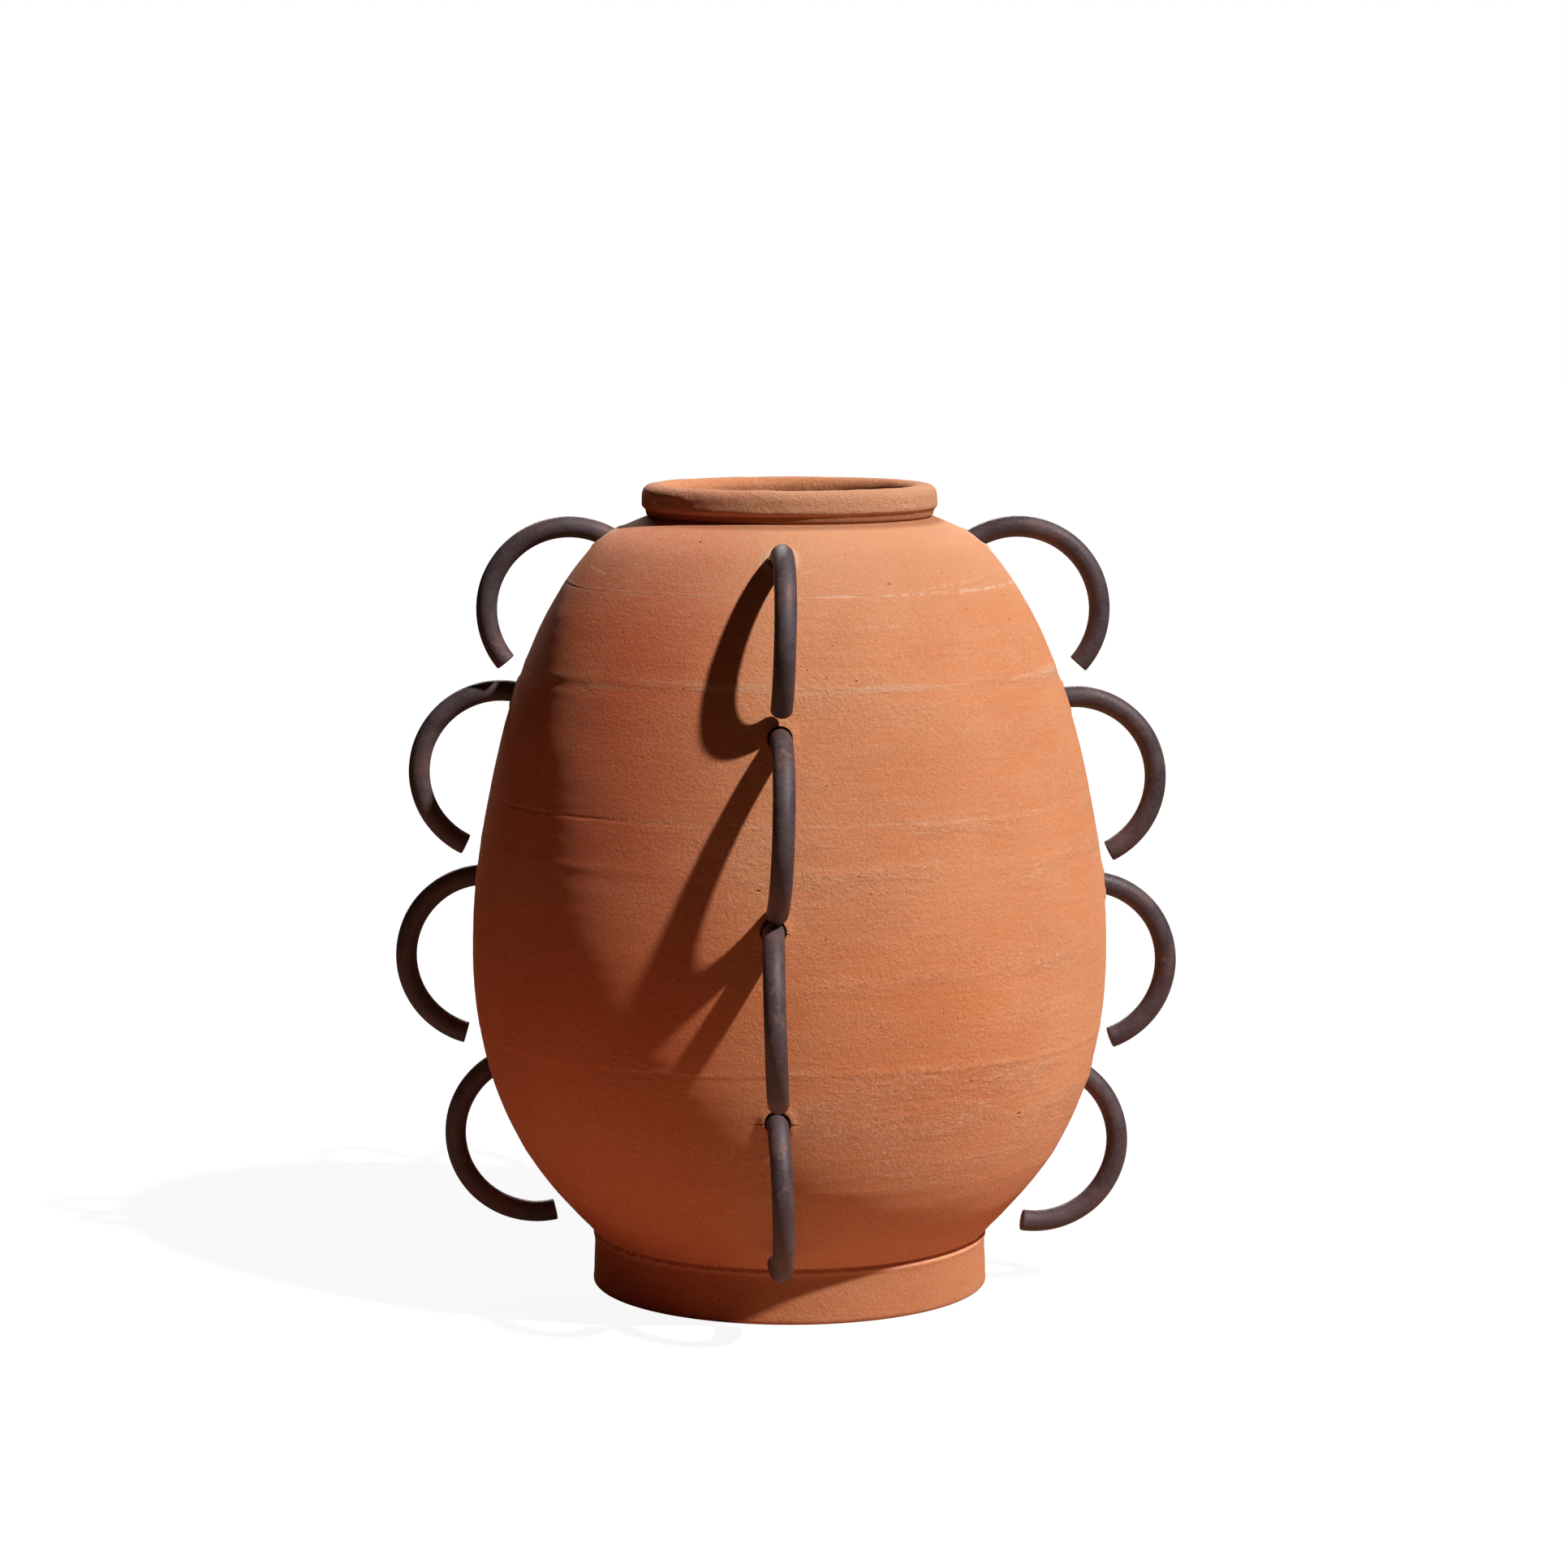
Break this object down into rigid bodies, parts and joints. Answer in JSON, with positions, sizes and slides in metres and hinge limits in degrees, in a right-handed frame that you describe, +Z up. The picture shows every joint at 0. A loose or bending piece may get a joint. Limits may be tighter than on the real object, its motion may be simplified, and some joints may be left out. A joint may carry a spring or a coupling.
{
  "type": "terracotta jar with iron hooks",
  "caption": "Egg-shaped terracotta jar with a rolled rim and a short foot, and upright columns of open half-ring iron hooks set through its wall.",
  "frame": {"origin": "on the jar's axis, in the plane of the foot's underside, where the jar stands", "axes": "+Z up along the jar's axis; -Y out through the front column of hooks, +X through the right column"},
  "size_m": [0.3862, 0.3861, 0.397],
  "materials": {
    "terracotta": "unglazed fired clay, matt, fine sandy grain with throwing lines and pale salt marks",
    "iron": "dark purple-brown mill scale, satin, with small rust patches",
    "mortar": "rough, matt, grey-buff"
  },
  "bodies": {
    "root": {"pot_body": "terracotta", "hook_front_1": "iron", "hook_front_2": "iron", "hook_front_3": "iron", "hook_front_4": "iron", "hook_right_1": "iron", "hook_right_2": "iron", "hook_right_3": "iron", "hook_right_4": "iron", "hook_back_1": "iron", "hook_back_2": "iron", "hook_back_3": "iron", "hook_back_4": "iron", "hook_left_1": "iron", "hook_left_2": "iron", "hook_left_3": "iron", "hook_left_4": "iron", "bedding_front_1": "mortar", "bedding_front_2": "mortar", "bedding_front_3": "mortar", "bedding_front_4": "mortar", "bedding_right_1": "mortar", "bedding_right_2": "mortar", "bedding_right_3": "mortar", "bedding_right_4": "mortar", "bedding_back_1": "mortar", "bedding_back_2": "mortar", "bedding_back_3": "mortar", "bedding_back_4": "mortar", "bedding_left_1": "mortar", "bedding_left_2": "mortar", "bedding_left_3": "mortar", "bedding_left_4": "mortar"}
  },
  "joints": []
}
